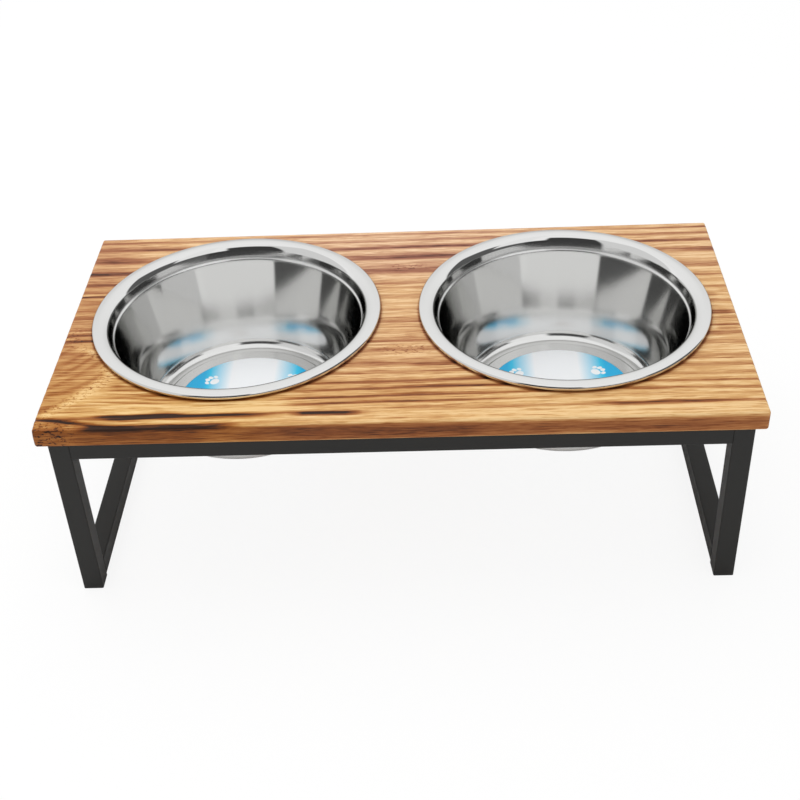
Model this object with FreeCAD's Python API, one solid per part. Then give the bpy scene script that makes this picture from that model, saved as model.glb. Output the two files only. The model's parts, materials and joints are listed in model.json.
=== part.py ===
import FreeCAD, Part
import math
import os

# An elevated pet feeder: a plank top on a welded square-tube stand, with two lift-out steel bowls.
# Millimetres. X runs along the board, Y from front to back and Z up. The origin is on the floor,
# under the middle of the board.

# Bowls: radii are on the visible side of the sheet, depths are below the board's top face
BOWL_MOUTH_RADIUS = 120.0
BOWL_SHEET = 0.8
RIM_FLANGE_WIDTH = 13.0
RIM_FLANGE_RISE = 2.5
RIM_MOUTH_ROUND = 9.0
RIM_HEM_RADIUS = 2.4
RIM_HEM_RETURN = 6.0
RIM_SEAT_GAP = 0.3
NECK_DEPTH = 6.8
NECK_TAPER = 4.4
NECK_ROUND = 1.2
LEDGE_WIDTH = 1.4
LEDGE_ROUND = 2.0
BOWL_WALL_TAPER = 21.2
BOWL_FLOOR_DEPTH = 98.5
BOWL_CORNER_RADIUS = 10.0
FLOOR_RING_FLAT = 0.5
FLOOR_RING_HEIGHT = 1.4
FLOOR_RING_WIDTH = 1.8
FLOOR_RING_ROUND = 0.9

# Labels on the bowls' floors
LABEL_MARGIN = 11.7
LABEL_THICK = 0.2

# Board
BOARD_THICK = 19.0
BOARD_EDGE_ROUND = 2.5
RIM_END_MARGIN = 21.5
RIM_FRONT_MARGIN = 33.0
RIM_BACK_MARGIN = 15.0
RIM_SPACING = 35.0
CUTOUT_CLEARANCE = 2.0
CUTOUT_EDGE_ROUND = 1.5

# Square-tube stand
TUBE_SIDE = 18.0
TUBE_WALL = 1.5
TUBE_CORNER_RADIUS = 1.2
LEG_LENGTH = 168.5
STAND_END_INSET = 9.0
STAND_FRONT_INSET = 5.0

# Push-in foot caps
CAP_THICK = 2.5
CAP_EDGE_ROUND = 0.8
CAP_PLUG_LENGTH = 12.0
CAP_PLUG_CLEARANCE = 0.2

# Wood screws that hold the board from below
SCREW_SHANK_RADIUS = 2.0
SCREW_HEAD_RADIUS = 4.0
SCREW_HEAD_HEIGHT = 2.6
SCREW_HEAD_ROUND = 1.2
SCREW_TIP_LENGTH = 4.0
SCREW_TIP_COVER = 5.0
SCREW_HOLE_CLEARANCE = 0.3
SCREW_END_INSET = 60.0
DRIVE_SLOT_WIDTH = 1.2
DRIVE_SLOT_LENGTH = 4.4
DRIVE_SLOT_DEPTH = 1.6

# How far a cutting tool runs past the face that it cuts
CUT_OVERRUN = 1.0
# Shortest straight that is drawn between two rounds
SHORTEST_STRAIGHT = 0.000001

# Worked out from the sizes above
rim_radius = BOWL_MOUTH_RADIUS + RIM_FLANGE_WIDTH
rim_diameter = 2 * rim_radius
neck_radius = BOWL_MOUTH_RADIUS - NECK_TAPER
wall_top_radius = neck_radius - LEDGE_WIDTH
wall_foot_radius = wall_top_radius - BOWL_WALL_TAPER
floor_ring_radius = wall_foot_radius - BOWL_CORNER_RADIUS - FLOOR_RING_FLAT
floor_radius = floor_ring_radius - FLOOR_RING_WIDTH
floor_height = FLOOR_RING_HEIGHT - BOWL_FLOOR_DEPTH
board_length = 2 * (RIM_END_MARGIN + rim_diameter) + RIM_SPACING
board_depth = RIM_FRONT_MARGIN + rim_diameter + RIM_BACK_MARGIN
board_bottom = CAP_THICK + LEG_LENGTH
board_top = board_bottom + BOARD_THICK
bowl_x = (rim_diameter + RIM_SPACING) / 2
bowl_y = (RIM_FRONT_MARGIN - RIM_BACK_MARGIN) / 2
cutout_radius = BOWL_MOUTH_RADIUS + BOWL_SHEET + CUTOUT_CLEARANCE
leg_x = board_length / 2 - STAND_END_INSET - TUBE_SIDE / 2
leg_y = board_depth / 2 - STAND_FRONT_INSET - TUBE_SIDE / 2
long_span = 2 * leg_x - TUBE_SIDE
short_span = 2 * leg_y - TUBE_SIDE
rail_z = board_bottom - TUBE_SIDE / 2
runner_z = CAP_THICK + TUBE_SIDE / 2
tube_bore = TUBE_SIDE - 2 * TUBE_WALL
bore_corner_radius = TUBE_CORNER_RADIUS * tube_bore / TUBE_SIDE
screw_length = TUBE_SIDE + BOARD_THICK - SCREW_TIP_COVER
screw_hole_radius = SCREW_SHANK_RADIUS + SCREW_HOLE_CLEARANCE
screw_reach_x = long_span / 2 - SCREW_END_INSET
screw_places_x = (-screw_reach_x, 0, screw_reach_x)

ENDS = {"left": -1, "right": 1}
SIDES = {"front": -1, "rear": 1}
ORIGIN = FreeCAD.Vector(0, 0, 0)
ALONG_X = FreeCAD.Vector(1, 0, 0)
ALONG_Y = FreeCAD.Vector(0, 1, 0)
UP = FreeCAD.Vector(0, 0, 1)


def section_point(radius, height):
    """A point of a turned piece's half section."""
    return FreeCAD.Vector(radius, 0, height)


def rounded_edges(points, rounds):
    """Straight runs through the points, with each inner corner rounded to its own radius."""
    edges = []
    start = points[0]
    for before, corner, after, radius in zip(points, points[1:], points[2:], rounds):
        back = (before - corner).normalize()
        ahead = (after - corner).normalize()
        half_angle = back.getAngle(ahead) / 2
        reach = radius / math.tan(half_angle)
        first = corner + back * reach
        last = corner + ahead * reach
        inward = (back + ahead).normalize()
        middle = corner + inward * (radius / math.sin(half_angle) - radius)
        if start.distanceToPoint(first) > SHORTEST_STRAIGHT:
            edges.append(Part.LineSegment(start, first).toShape())
        if radius > 0:
            edges.append(Part.Arc(first, middle, last).toShape())
        start = last
    edges.append(Part.LineSegment(start, points[-1]).toShape())
    return edges


def left_of(start, end):
    """The direction square to a run of a half section, on its left."""
    along = (end - start).normalize()
    return FreeCAD.Vector(-along.z, 0, along.x)


def offset_points(points, gap):
    """The corners of the same half section, moved to its left by the gap."""
    sides = [left_of(start, end) for start, end in zip(points, points[1:])]
    moved = [points[0] + sides[0] * gap]
    for corner, first, second in zip(points[1:], sides, sides[1:]):
        moved.append(corner + (first + second) * (gap / (1 + first.dot(second))))
    moved.append(points[-1] + sides[-1] * gap)
    return moved


def turned_section(edges):
    """The solid that a closed half section makes when it is turned once round the upright axis."""
    outline = Part.Wire(Part.__sortEdges__(edges))
    return Part.Face(outline).revolve(ORIGIN, UP, 360)


def turned_sheet(points, rounds, sheet):
    """A pressed sheet of even thickness, from the half section of its visible side."""
    inner_points = offset_points(points, sheet)
    inner_rounds = []
    for before, corner, after, radius in zip(points, points[1:], points[2:], rounds):
        turns_left = left_of(before, corner).dot(after - corner) > 0
        inner_rounds.append(radius - sheet if turns_left else radius + sheet)
    edges = rounded_edges(points, rounds) + rounded_edges(inner_points, inner_rounds)
    edges.append(Part.LineSegment(points[0], inner_points[0]).toShape())
    edges.append(Part.LineSegment(points[-1], inner_points[-1]).toShape())
    return turned_section(edges)


def rounded_square(side, radius):
    """A square face with rounded corners, centred on the origin."""
    half = side / 2
    flat = half - radius
    diagonal = flat + radius / math.sqrt(2)
    edges = []
    for quarter in range(4):
        turn = FreeCAD.Rotation(UP, 90 * quarter)
        corner_start = turn.multVec(FreeCAD.Vector(half, flat, 0))
        corner_middle = turn.multVec(FreeCAD.Vector(diagonal, diagonal, 0))
        corner_end = turn.multVec(FreeCAD.Vector(flat, half, 0))
        next_corner = turn.multVec(FreeCAD.Vector(-flat, half, 0))
        edges.append(Part.Arc(corner_start, corner_middle, corner_end).toShape())
        edges.append(Part.LineSegment(corner_end, next_corner).toShape())
    return Part.Face(Part.Wire(edges))


def square_tube(length):
    """A hollow square tube that stands on the origin."""
    outside = rounded_square(TUBE_SIDE, TUBE_CORNER_RADIUS).extrude(UP * length)
    bore = rounded_square(tube_bore, bore_corner_radius).extrude(UP * length)
    return outside.cut(bore)


def lying_tube(length, hinge):
    """A tube tipped over about one of the floor's axes, with its middle on the origin."""
    tube = square_tube(length)
    tube.translate(UP * (-length / 2))
    tube.rotate(ORIGIN, hinge, 90)
    return tube


def make_board():
    """The plank: rounded all round, with a cut-out for each bowl and blind holes for the screws."""
    corner = FreeCAD.Vector(-board_length / 2, -board_depth / 2, board_bottom)
    plank = Part.makeBox(board_length, board_depth, BOARD_THICK, corner)
    plank = plank.makeFillet(BOARD_EDGE_ROUND, plank.Edges)
    for end in ENDS.values():
        base = FreeCAD.Vector(end * bowl_x, bowl_y, board_bottom - CUT_OVERRUN)
        plank = plank.cut(Part.makeCylinder(cutout_radius, BOARD_THICK + 2 * CUT_OVERRUN, base))
    cutout_edges = [edge for edge in plank.Edges if edge.isClosed() and edge.Length > cutout_radius]
    plank = plank.makeFillet(CUTOUT_EDGE_ROUND, cutout_edges)
    hole_depth = BOARD_THICK - SCREW_TIP_COVER + SCREW_HOLE_CLEARANCE
    for side in SIDES.values():
        for x in screw_places_x:
            base = FreeCAD.Vector(x, side * leg_y, board_bottom - CUT_OVERRUN)
            plank = plank.cut(Part.makeCylinder(screw_hole_radius, hole_depth + CUT_OVERRUN, base))
    return plank


def make_long_rail(side):
    """The tube under the board's front or rear edge, drilled through for the screws."""
    rail = lying_tube(long_span, ALONG_Y)
    drill_length = TUBE_SIDE + 2 * CUT_OVERRUN
    for x in screw_places_x:
        base = FreeCAD.Vector(x, 0, -drill_length / 2)
        rail = rail.cut(Part.makeCylinder(screw_hole_radius, drill_length, base))
    rail.translate(FreeCAD.Vector(0, side * leg_y, rail_z))
    return rail


def make_short_tube(end, height):
    """A tube from the front leg to the rear leg at one end: a top rail or a floor runner."""
    tube = lying_tube(short_span, ALONG_X)
    tube.translate(FreeCAD.Vector(end * leg_x, 0, height))
    return tube


def make_leg(end, side):
    """An upright tube from its foot cap to the board."""
    leg = square_tube(LEG_LENGTH)
    leg.translate(FreeCAD.Vector(end * leg_x, side * leg_y, CAP_THICK))
    return leg


def make_foot_cap(end, side):
    """A plate as wide as the tube, softened where it meets the floor, with a plug up into the bore."""
    plate = rounded_square(TUBE_SIDE, TUBE_CORNER_RADIUS).extrude(UP * CAP_THICK)
    floor_edges = [edge for edge in plate.Edges if edge.BoundBox.ZMax < CAP_THICK / 2]
    plate = plate.makeFillet(CAP_EDGE_ROUND, floor_edges)
    plug_side = tube_bore - 2 * CAP_PLUG_CLEARANCE
    plug = rounded_square(plug_side, bore_corner_radius).extrude(UP * CAP_PLUG_LENGTH)
    plug.translate(UP * CAP_THICK)
    cap = plate.fuse(plug)
    cap.translate(FreeCAD.Vector(end * leg_x, side * leg_y, 0))
    return cap


def make_screw():
    """A pan-head wood screw that points up, with the seat of its head on the origin."""
    points = [
        section_point(0, -SCREW_HEAD_HEIGHT),
        section_point(SCREW_HEAD_RADIUS, -SCREW_HEAD_HEIGHT),
        section_point(SCREW_HEAD_RADIUS, 0),
        section_point(SCREW_SHANK_RADIUS, 0),
        section_point(SCREW_SHANK_RADIUS, screw_length - SCREW_TIP_LENGTH),
        section_point(0, screw_length),
    ]
    edges = rounded_edges(points, (SCREW_HEAD_ROUND, 0, 0, 0))
    edges.append(Part.LineSegment(points[-1], points[0]).toShape())
    screw = turned_section(edges)
    slot_height = DRIVE_SLOT_DEPTH + CUT_OVERRUN
    slot_base = -SCREW_HEAD_HEIGHT - CUT_OVERRUN
    for length, width in ((DRIVE_SLOT_LENGTH, DRIVE_SLOT_WIDTH), (DRIVE_SLOT_WIDTH, DRIVE_SLOT_LENGTH)):
        corner = FreeCAD.Vector(-length / 2, -width / 2, slot_base)
        screw = screw.cut(Part.makeBox(length, width, slot_height, corner))
    return screw


def make_screw_row(side):
    """The screws of one long rail, with their heads under the tube."""
    row = []
    for x in screw_places_x:
        screw = make_screw()
        screw.translate(FreeCAD.Vector(x, side * leg_y, board_bottom - TUBE_SIDE))
        row.append(screw)
    return Part.makeCompound(row)


def make_bowl(end):
    """A pressed bowl: rolled hem, flange, neck, ledge, tapered wall, rounded foot and a raised floor."""
    hem_top = RIM_SEAT_GAP + 2 * RIM_HEM_RADIUS
    points = [
        section_point(rim_radius - RIM_HEM_RETURN, RIM_SEAT_GAP),
        section_point(rim_radius, RIM_SEAT_GAP),
        section_point(rim_radius, hem_top),
        section_point(BOWL_MOUTH_RADIUS, hem_top + RIM_FLANGE_RISE),
        section_point(neck_radius, -NECK_DEPTH),
        section_point(wall_top_radius, -NECK_DEPTH - LEDGE_WIDTH),
        section_point(wall_foot_radius, -BOWL_FLOOR_DEPTH),
        section_point(floor_ring_radius, -BOWL_FLOOR_DEPTH),
        section_point(floor_radius, floor_height),
        section_point(0, floor_height),
    ]
    rounds = (RIM_HEM_RADIUS, RIM_HEM_RADIUS, RIM_MOUTH_ROUND, NECK_ROUND, LEDGE_ROUND,
              BOWL_CORNER_RADIUS, FLOOR_RING_ROUND, FLOOR_RING_ROUND)
    bowl = turned_sheet(points, rounds, BOWL_SHEET)
    bowl.translate(FreeCAD.Vector(end * bowl_x, bowl_y, board_top))
    return bowl


def make_label(end):
    """A thin round label that lies on the bowl's raised floor."""
    base = FreeCAD.Vector(end * bowl_x, bowl_y, board_top + floor_height)
    return Part.makeCylinder(floor_radius - LABEL_MARGIN, LABEL_THICK, base)


def build():
    """Every piece of the feeder, by the name of its node."""
    pieces = {"top_board": make_board()}
    for side_name, side in SIDES.items():
        pieces[side_name + "_top_rail"] = make_long_rail(side)
        pieces[side_name + "_board_screws"] = make_screw_row(side)
        for end_name, end in ENDS.items():
            corner_name = side_name + "_" + end_name
            pieces[corner_name + "_leg"] = make_leg(end, side)
            pieces[corner_name + "_foot_cap"] = make_foot_cap(end, side)
    for end_name, end in ENDS.items():
        pieces[end_name + "_top_rail"] = make_short_tube(end, rail_z)
        pieces[end_name + "_floor_runner"] = make_short_tube(end, runner_z)
        pieces[end_name + "_bowl"] = make_bowl(end)
        pieces[end_name + "_bowl_label"] = make_label(end)
    return pieces


os.makedirs("parts", exist_ok=True)
for node, shape in build().items():
    shape.exportStep("parts/" + node + ".step")
    print(node, "solids", len(shape.Solids), "valid", shape.isValid(), "volume", round(shape.Volume, 1))
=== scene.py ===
"""Elevated pet feeder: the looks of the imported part, laid out as a Blender add-on and run as a script.

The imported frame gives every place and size. Lengths named _MM are in millimetres, all others in metres.
"""

import json
import math
from functools import partial

import bpy
import numpy as np
from bpy.props import FloatProperty, FloatVectorProperty, IntProperty, PointerProperty
from mathutils import Matrix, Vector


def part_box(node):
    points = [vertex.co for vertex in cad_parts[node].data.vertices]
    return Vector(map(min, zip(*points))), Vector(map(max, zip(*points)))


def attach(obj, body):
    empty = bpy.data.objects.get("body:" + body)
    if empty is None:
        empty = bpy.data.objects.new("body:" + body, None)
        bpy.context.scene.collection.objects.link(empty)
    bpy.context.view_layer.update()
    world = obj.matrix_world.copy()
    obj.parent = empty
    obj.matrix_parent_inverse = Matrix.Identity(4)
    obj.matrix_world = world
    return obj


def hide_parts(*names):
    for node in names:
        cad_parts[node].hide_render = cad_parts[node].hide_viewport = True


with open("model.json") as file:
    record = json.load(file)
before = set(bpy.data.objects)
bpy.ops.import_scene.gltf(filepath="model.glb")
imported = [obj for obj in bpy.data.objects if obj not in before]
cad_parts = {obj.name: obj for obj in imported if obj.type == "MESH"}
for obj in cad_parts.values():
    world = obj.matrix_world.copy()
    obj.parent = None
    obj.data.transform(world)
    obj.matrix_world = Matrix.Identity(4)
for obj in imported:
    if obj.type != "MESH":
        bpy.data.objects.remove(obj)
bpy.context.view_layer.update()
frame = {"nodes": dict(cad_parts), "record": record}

bl_info = {
    "name": "Elevated Pet Feeder",
    "version": (1, 0, 0),
    "blender": (4, 5, 0),
    "location": "View3D > Sidebar > Feeder",
    "description": "Dresses the packed feeder: burnt plank, steel bowls, labels, stand and stage",
    "category": "Object",
}

MM = 0.001
WELD_STEP_MM = 0.01
WELD_SHIFT_MM = 0.00314

BOWL_SIGNS = {"left": -1, "right": 1}
BOARD_LOW, BOARD_HIGH = (np.array(corner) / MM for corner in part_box("top_board"))
BOWL_LOW, BOWL_HIGH = (np.array(corner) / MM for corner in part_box("right_bowl"))
LABEL_LOW, LABEL_HIGH = (np.array(corner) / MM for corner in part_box("right_bowl_label"))
BOWL_X_MM = (BOWL_LOW[0] + BOWL_HIGH[0]) / 2
BOWL_Y_MM = (BOWL_LOW[1] + BOWL_HIGH[1]) / 2
RIM_RADIUS_MM = (BOWL_HIGH[0] - BOWL_LOW[0]) / 2
LABEL_RADIUS_MM = (LABEL_HIGH[0] - LABEL_LOW[0]) / 2
BOARD_TOP_MM = BOARD_HIGH[2]

# Plank: the rounds of its edges and cut-outs, as in the part's source
BOARD_ROUND_MM = 2.5
CUTOUT_RADIUS_MM = 122.8
CUTOUT_ROUND_MM = 1.5

# Growth rings, from the plank's back edge to its front edge, at the middle of its length.
# Each ring ends in a line of dark summer wood, with its own share of burn at the left, middle and right.
RING_WIDTHS_MM = (8, 12, 13, 18, 29, 20, 8, 14, 12, 11, 21, 9, 9, 14, 13, 23, 10, 14, 9, 11, 8, 11, 12, 14)
RING_BURN_SHARES = (
    (0.42, 0.46, 0.62, 0.85, 0.46, 0.34, 0.70, 0.35, 0.30, 0.30, 0.35, 0.50,
     0.50, 0.45, 0.35, 0.40, 0.30, 0.30, 0.30, 0.26, 0.10, 0.55, 0.20, 0.40),
    (0.38, 0.42, 0.66, 0.82, 0.46, 0.26, 0.26, 0.15, 0.12, 0.16, 0.30, 0.20,
     0.22, 0.36, 0.25, 0.50, 0.40, 0.70, 0.88, 0.85, 0.80, 0.22, 0.05, 0.20),
    (0.40, 0.50, 0.55, 0.55, 0.48, 0.42, 0.30, 0.42, 0.30, 0.34, 0.42, 0.20,
     0.42, 0.38, 0.26, 0.38, 0.48, 0.44, 0.48, 0.44, 0.16, 0.55, 0.05, 0.10),
)
LEFT_TO_MIDDLE_MM = (-115, -60)
MIDDLE_TO_RIGHT_MM = (50, 115)
# The tree's heart, which the rings bow round: its place along Y, how far they bow, and how far it reaches
HEART_Y_MM = 10.0
HEART_BOW_MM = 120.0
HEART_REACH_MM = 50.0
# Drift of the rings at the left back: how far, from where to where left of the middle, and where along Y
BACK_DRIFT_MM = 18.0
BACK_DRIFT_LEFT_MM = (40, 270)
BACK_DRIFT_Y_MM = (92, 32)
# Waves of the lines. Each: its height, its run along X and along Y for each radian, and its start.
LEVEL = math.inf
RING_WAVES_MM = ((0.9, 71, 31, 0), (0.3, 23, -13, 1.3), (0.12, 8.3, 5, 0))
SCORCH_WAVES_MM = ((1.3, 27, LEVEL, 0), (0.6, 9.5, LEVEL, 0))
BRANCH_WAVES_MM = ((0.3, 19, 34, 0), (0.12, 7, -11, 0))
FAN_WAVES_MM = ((0.5, 17, LEVEL, 0), (0.3, 7, 9, 0))
# The flame's waves. Each: its run along X for each radian, its shift from ring to ring, and its start.
FLAME_WAVES_MM = ((61, 2.4, 0), (149, -1.7, 0.6))
FLAME_MEAN_SHARE = 0.86
FLAME_SWING_SHARE = 0.26
BURN_MOST_SHARE = 1.4

# The bent grain at the plank's left front corner, behind a pale ridge given as places along Y and X
RIDGE_Y_MM = (-146, -138, -110, -84, -60, -40, -30)
RIDGE_X_MM = (-307, -299, -272, -252, -258, -283, -300)
RIDGE_WIDTH_MM = 8.0
RIDGE_FADE_MM = 26.0
RIDGE_PALE_SHARE = 0.7
BENT_BORDER_MM = 10.0
BENT_FRONT_MM = (-148, -138)
BENT_BACK_MM = (26, 44)
BENT_TOAST_SHARE = 0.15
BRANCH_SLANT_SHARES = (-0.69, 0.72)
BRANCH_START_MM = 34.65
BRANCH_RING_MM = 13.0

# Fine lines that fan out from the ridge
FAN_START_X_MM = -255.0
FAN_LENGTH_MM = 260.0
FAN_Y_MM = -100.0
FAN_LINE_MM = 5.2

# A dark crack at the left front corner, as places along X and Y
CRACK_X_MM = (-306, -290, -270, -252, -236, -215)
CRACK_Y_MM = (-142, -144.5, -148, -151, -153.5, -156)
CRACK_WIDTH_MM = 1.9
CRACK_END_MM = (-235, -215)
CRACK_TOAST_SHARE = 0.8

# Patches that the flame, the brush or wear left their own way. Each: lowest and highest X, lowest and
# highest Y, how soft its borders are along X and Y, and its share.
BURNT_PATCHES = {
    "left front band": (-250, -182, -147, -140, 20, 2.4, 1.15),
    "left front tail": (-182, -112, -146, -140.5, 18, 2.4, 0.62),
    "middle front band": (-84, -34, -147.5, -141, 9, 1.8, 0.75),
    "right front line": (165, 290, -141, -136.5, 20, 1.8, 0.45),
    "between the bowls": (12, 50, -80, -73, 8, 3.0, 0.30),
    "right end": (278, 300, -12, -3, 4, 1.6, 0.30),
    "right end, further front": (284, 302, -38, -29, 4, 1.6, 0.32),
    "right end, further back": (274, 292, 12, 24, 4, 2, 0.24),
}
TOASTED_PATCHES = {
    "left end": (-320, -268, -45, 170, 24, 40, 0.17),
    "left front corner": (-320, -262, -150, -60, 24, 25, 0.08),
    "worn corner": (-320, -276, -170, -146, 8, 3, 0.28),
    "charred front arris": (-264, -140, -170, -151.8, 14, 1.6, 0.80),
    "brown spot": (-248, -238, -101, -95, 5, 4, 0.22),
    "pale front zone": (-250, -92, -138, -121, 14, 4, -0.12),
    "pale right front": (40, 300, -170, -143, 30, 3, -0.10),
    "warm front middle": (-85, 65, -131, -95, 22, 4, 0.08),
    "between the bowls": (-40, 40, -70, 60, 10, 20, 0.02),
    "right end": (272, 320, -150, 150, 8, 20, -0.02),
    "wide burnt band": (-120, 120, 78, 92, 60, 7, 0.16),
}
SPECKLED_PATCHES = {
    "worn corner": (-320, -272, -170, -145, 8, 3, 0.9),
    "between the bowls": (-14, 26, -60, -47, 8, 4, 0.8),
    "burnt back band": (-10, 24, 80, 92, 8, 4, 0.6),
    "left end": (-320, -288, -34, -8, 6, 8, 0.6),
}
# The front face: lowest and highest X, how soft, and the share of darkening, partly flame and partly painted
# shade
FACE_STRETCHES = {
    "left end": (-320, -256, 14, 0.48),
    "charred stretch": (-256, -165, 18, 0.64),
    "lighter stretch": (-165, -112, 18, 0.42),
    "dark stretch": (-112, 70, 26, 0.62),
    "right end": (70, 320, 26, 0.48),
}
FANNED_PATCHES = {"right of the ridge": (-255, -120, -128, -84, 20, 8, 0.30)}
# The rings' drift in millimetres, the more golden wood and the worn edge, which run out over the left front
BEYOND_MM = -999
DRIFT_PATCHES = {"left front": (BEYOND_MM, -130, BEYOND_MM, -90, 90, 30, 4.0)}
GOLDEN_PATCHES = {"left front": (BEYOND_MM, -105, BEYOND_MM, -35, 45, 35, 1.0)}
WORN_PATCHES = {"left front edge": (BEYOND_MM, -135, BEYOND_MM, -150, 45, 7, 1.0)}
# Depths over which the top's marks end, and over which the front face's burn and painted shade starts and
# fades at its foot
TOP_DEPTH_MM = (1, 5)
FACE_AHEAD_MM = (152.5, 156)
FACE_TOP_MM = (0.5, 4)
FACE_FOOT_MM = (15.5, 18.5)
FACE_FOOT_SHARE = 0.7
# Pinker wood: how much it gains between two places along Y, and how it fades towards the ends
BLUSH_GAINS = {"middle": (-130, -50, 0.4), "back": (40, 95, 0.6)}
BLUSH_ENDS_MM = (60, 200)
BLUSH_END_SHARE = 0.5

# Relief: where in a ring the brushed hollow falls and rises, and how much of it the sides keep
HOLLOW_FALL_SHARES = (0.40, 0.84)
HOLLOW_RISE_SHARES = (0.87, 1.0)
LEAST_GROOVE_SHARE = 0.15
SLANT_GROOVE_SHARE = 0.5
SIDE_GROOVE_SHARE = 0.25
SIDE_WEAR_SHARE = 0.3
WORN_RISE_MM = (-9, 0)
SCORCH_SINK_MM = 0.5
CRACK_SINK_MM = 0.9

# Bowl section: radii on the visible side of the sheet, heights above the plank's top
BOWL_MOUTH_RADIUS_MM = 120.0
BOWL_SHEET_MM = 0.8
HEM_RADIUS_MM = 2.4
HEM_RETURN_MM = 6.0
RIM_SEAT_MM = 0.3
FLANGE_RISE_MM = 2.5
NECK_RADIUS_MM = 115.6
NECK_FOOT_MM = -6.8
WALL_TOP_RADIUS_MM = 114.2
WALL_TOP_MM = -8.2
WALL_FOOT_RADIUS_MM = 93.0
FLOOR_LOW_MM = -98.5
FLOOR_RING_RADIUS_MM = 82.5
FLOOR_RADIUS_MM = 80.7
FLOOR_HIGH_MM = -97.1
BOWL_ROUNDS_MM = (2.4, 2.4, 9.0, 1.2, 2.0, 10.0, 0.9, 0.9)


def linear(code):
    """The linear colour of an sRGB hex value, with full alpha."""
    channels = np.array([int(code[place:place + 2], 16) / 255 for place in (1, 3, 5)])
    low = channels / 12.92
    high = ((channels + 0.055) / 1.055) ** 2.4
    return (*np.where(channels <= 0.04045, low, high).tolist(), 1.0)


def colour_setting(name, description, code):
    """A colour that shows in the panel."""
    return FloatVectorProperty(name=name, description=description, subtype="COLOR", size=4,
                               min=0.0, max=1.0, default=linear(code))


def length_setting(name, description, default):
    """A length that shows in the panel, in metres."""
    return FloatProperty(name=name, description=description, unit="LENGTH", default=default, min=0.0)


def share_setting(name, description, default):
    """A share that shows in the panel."""
    return FloatProperty(name=name, description=description, subtype="FACTOR", default=default,
                         min=0.0, max=1.0)


class FeederPlank(bpy.types.PropertyGroup):
    """Sizes and colours of the burnt plank."""

    groove_depth: length_setting("Groove depth", "How far the brushed lines lie below the face", 0.0004)
    worn_drop: length_setting("Worn drop", "How far the left front edge is worn down", 0.0022)
    pale: colour_setting("Pale wood", "Spring wood that the flame left pale", "#EAC58E")
    golden: colour_setting("Golden wood", "Wood that the flame only warmed", "#D5A66A")
    brown: colour_setting("Brown wood", "Scorched wood beside the lines", "#A66937")
    burnt: colour_setting("Burnt wood", "Summer wood at the heart of a line", "#7E431B")
    charred: colour_setting("Charred wood", "Cracks and worn edges", "#2E170B")


class FeederBowl(bpy.types.PropertyGroup):
    """Finish of the pressed steel bowls."""

    steel: colour_setting("Steel", "Polished stainless steel", "#E5E5E4")
    polish: share_setting("Polish", "Roughness of the polished sheet", 0.10)
    smear: share_setting("Smear", "How far reflections smear across the polishing rings", 0.6)
    grazing: colour_setting("Grazing steel", "What the steel returns at a grazing angle", "#B6B6B4")
    seen_length: length_setting("Section", "Length from the hem to the middle of the floor", 0.24)
    turns: IntProperty(name="Turns", description="Steps round a bowl", default=240, min=48)


class FeederLabel(bpy.types.PropertyGroup):
    """Colours of the round paper labels."""

    sky: colour_setting("Ground", "Blue ground of the label", "#34CAF2")
    # Deeper blue towards the label's left and right sides, beyond the painted reflection
    rim: colour_setting("Rim", "Deeper blue at the label's rim", "#20B6EA")
    # Pale colour of the painted reflection down the label's middle, and of the white paw prints
    glow: colour_setting("Glow", "Pale middle of the label", "#FBFDFF")
    print_dark: colour_setting("Print", "Brown print in the middle", "#8A6A4C")


class FeederStand(bpy.types.PropertyGroup):
    """Colours of the tube stand and its small parts."""

    coat: colour_setting("Coat", "Charcoal powder coat", "#171613")
    cap: colour_setting("Caps", "Black foot caps", "#1B1A19")
    zinc: colour_setting("Zinc", "Zinc-plated screws", "#B9BCC0")


class FeederStage(bpy.types.PropertyGroup):
    """Floor, light and camera."""

    lens: FloatProperty(name="Lens", description="Focal length on a 36 mm sensor", default=58.796,
                        min=1.0, unit="CAMERA")
    fill: FloatProperty(name="Fill light", description="Strength of the even light", default=0.86, min=0.0)
    key: FloatProperty(name="Key light", description="Power of the lamp in watts", default=11.0, min=0.0)
    floor_size: length_setting("Floor", "Width of the floor", 16.0)
    floor: colour_setting("Floor colour", "Plain pale floor", "#FDFDFD")


def settings(name):
    """One of the feeder's groups of settings."""
    return getattr(bpy.context.scene, "feeder_" + name)


def rise(low, high, value):
    """Nought below low, one above high, and a smooth S between them."""
    share = np.clip((value - low) / (high - low), 0.0, 1.0)
    return share * share * (3 - 2 * share)


def bump(middle, width, value):
    """A smooth hump, one at its middle and nearly nought two widths away."""
    return np.exp(-((value - middle) / width) ** 2)


def grid_faces(numbers, flip=False):
    """Four-cornered faces between neighbours of a grid of point numbers."""
    corners = [numbers[:-1, :-1], numbers[:-1, 1:], numbers[1:, 1:], numbers[1:, :-1]]
    if flip:
        corners.reverse()
    return np.stack([corner.ravel() for corner in corners], axis=1)


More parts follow.
